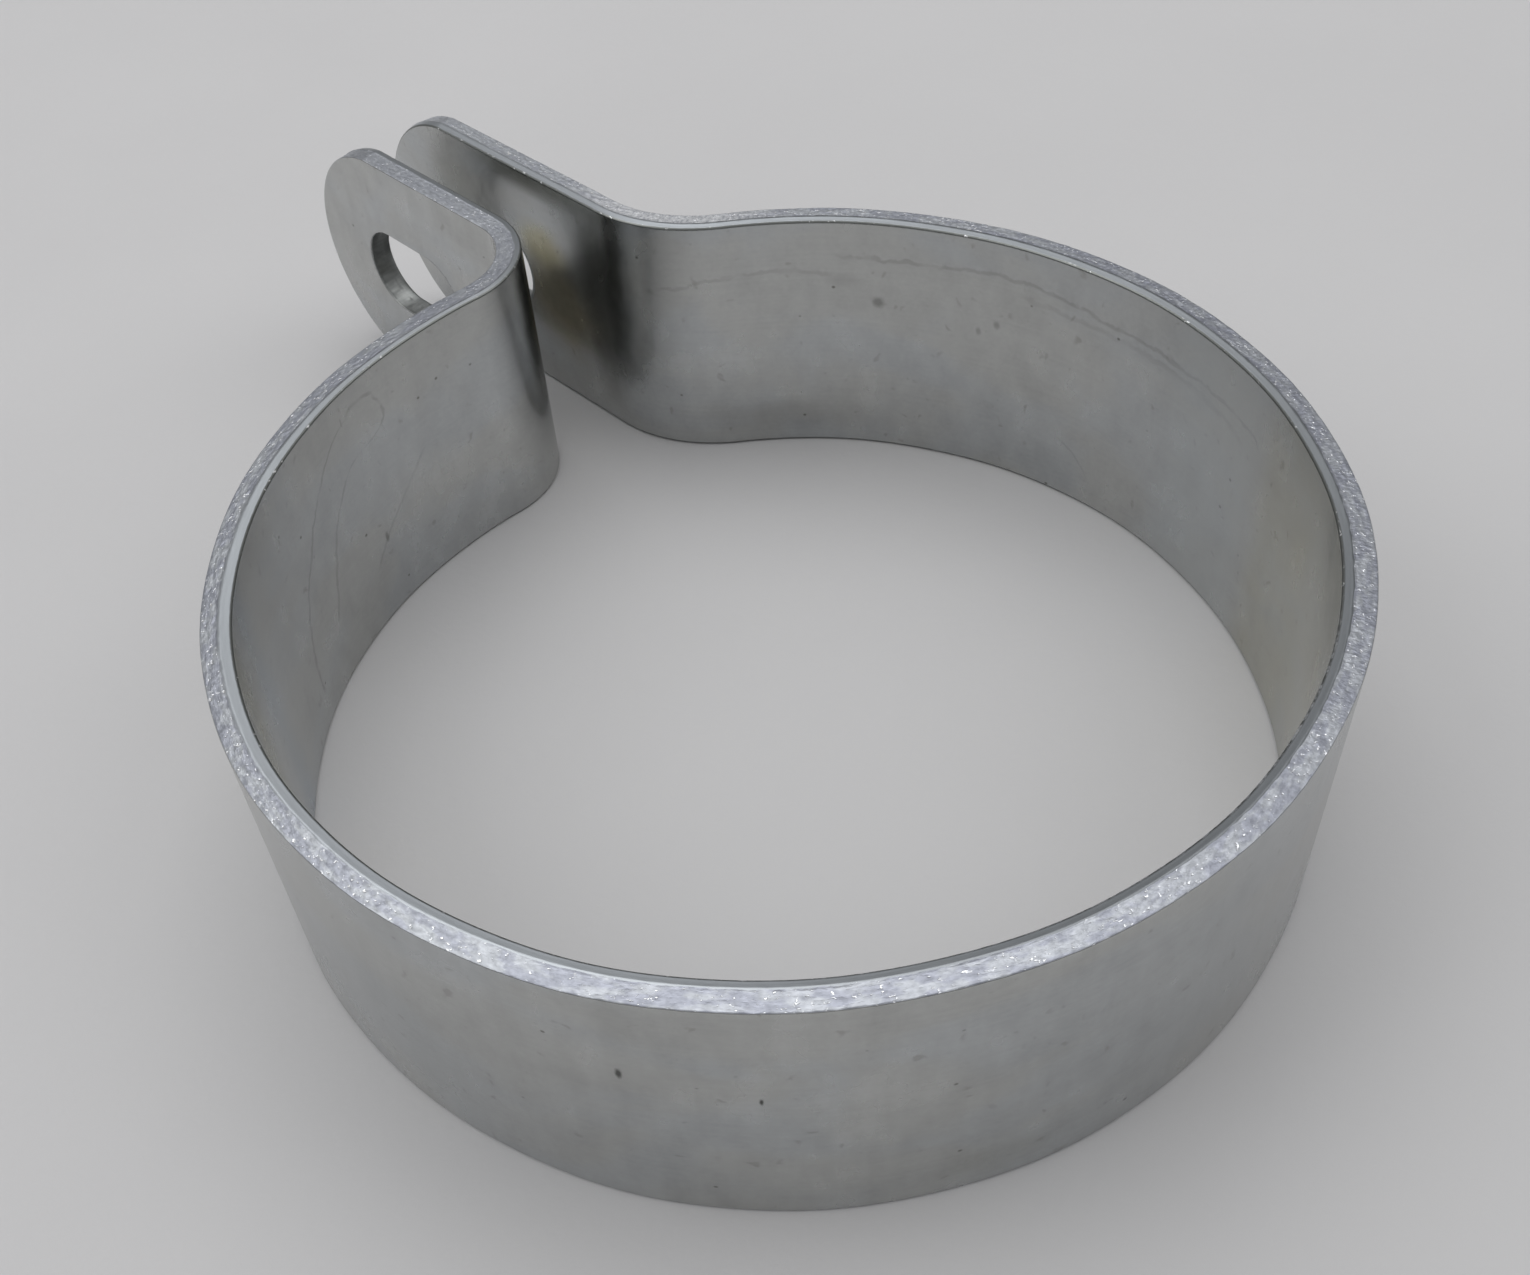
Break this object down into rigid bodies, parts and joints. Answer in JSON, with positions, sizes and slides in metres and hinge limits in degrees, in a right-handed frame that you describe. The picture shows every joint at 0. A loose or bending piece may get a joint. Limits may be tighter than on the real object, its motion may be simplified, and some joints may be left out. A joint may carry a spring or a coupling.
{
  "type": "pipe band clamp",
  "caption": "Open ring bent from one flat zinc-plated steel strap, closing into parallel rounded ears with slotted bolt holes, to squeeze round a pipe.",
  "frame": {"origin": "on the pipe's axis, at half the strap's width", "axes": "+Z along the pipe, +Y the way the ears point, +X the way the bolt goes through the ears"},
  "size_m": [0.1076, 0.1543, 0.0318],
  "materials": {
    "zinc_plated_steel": "satin zinc plating over cold-rolled steel strip, with sheared edges"
  },
  "bodies": {
    "root": {"clamp_band": "zinc_plated_steel"}
  },
  "joints": []
}
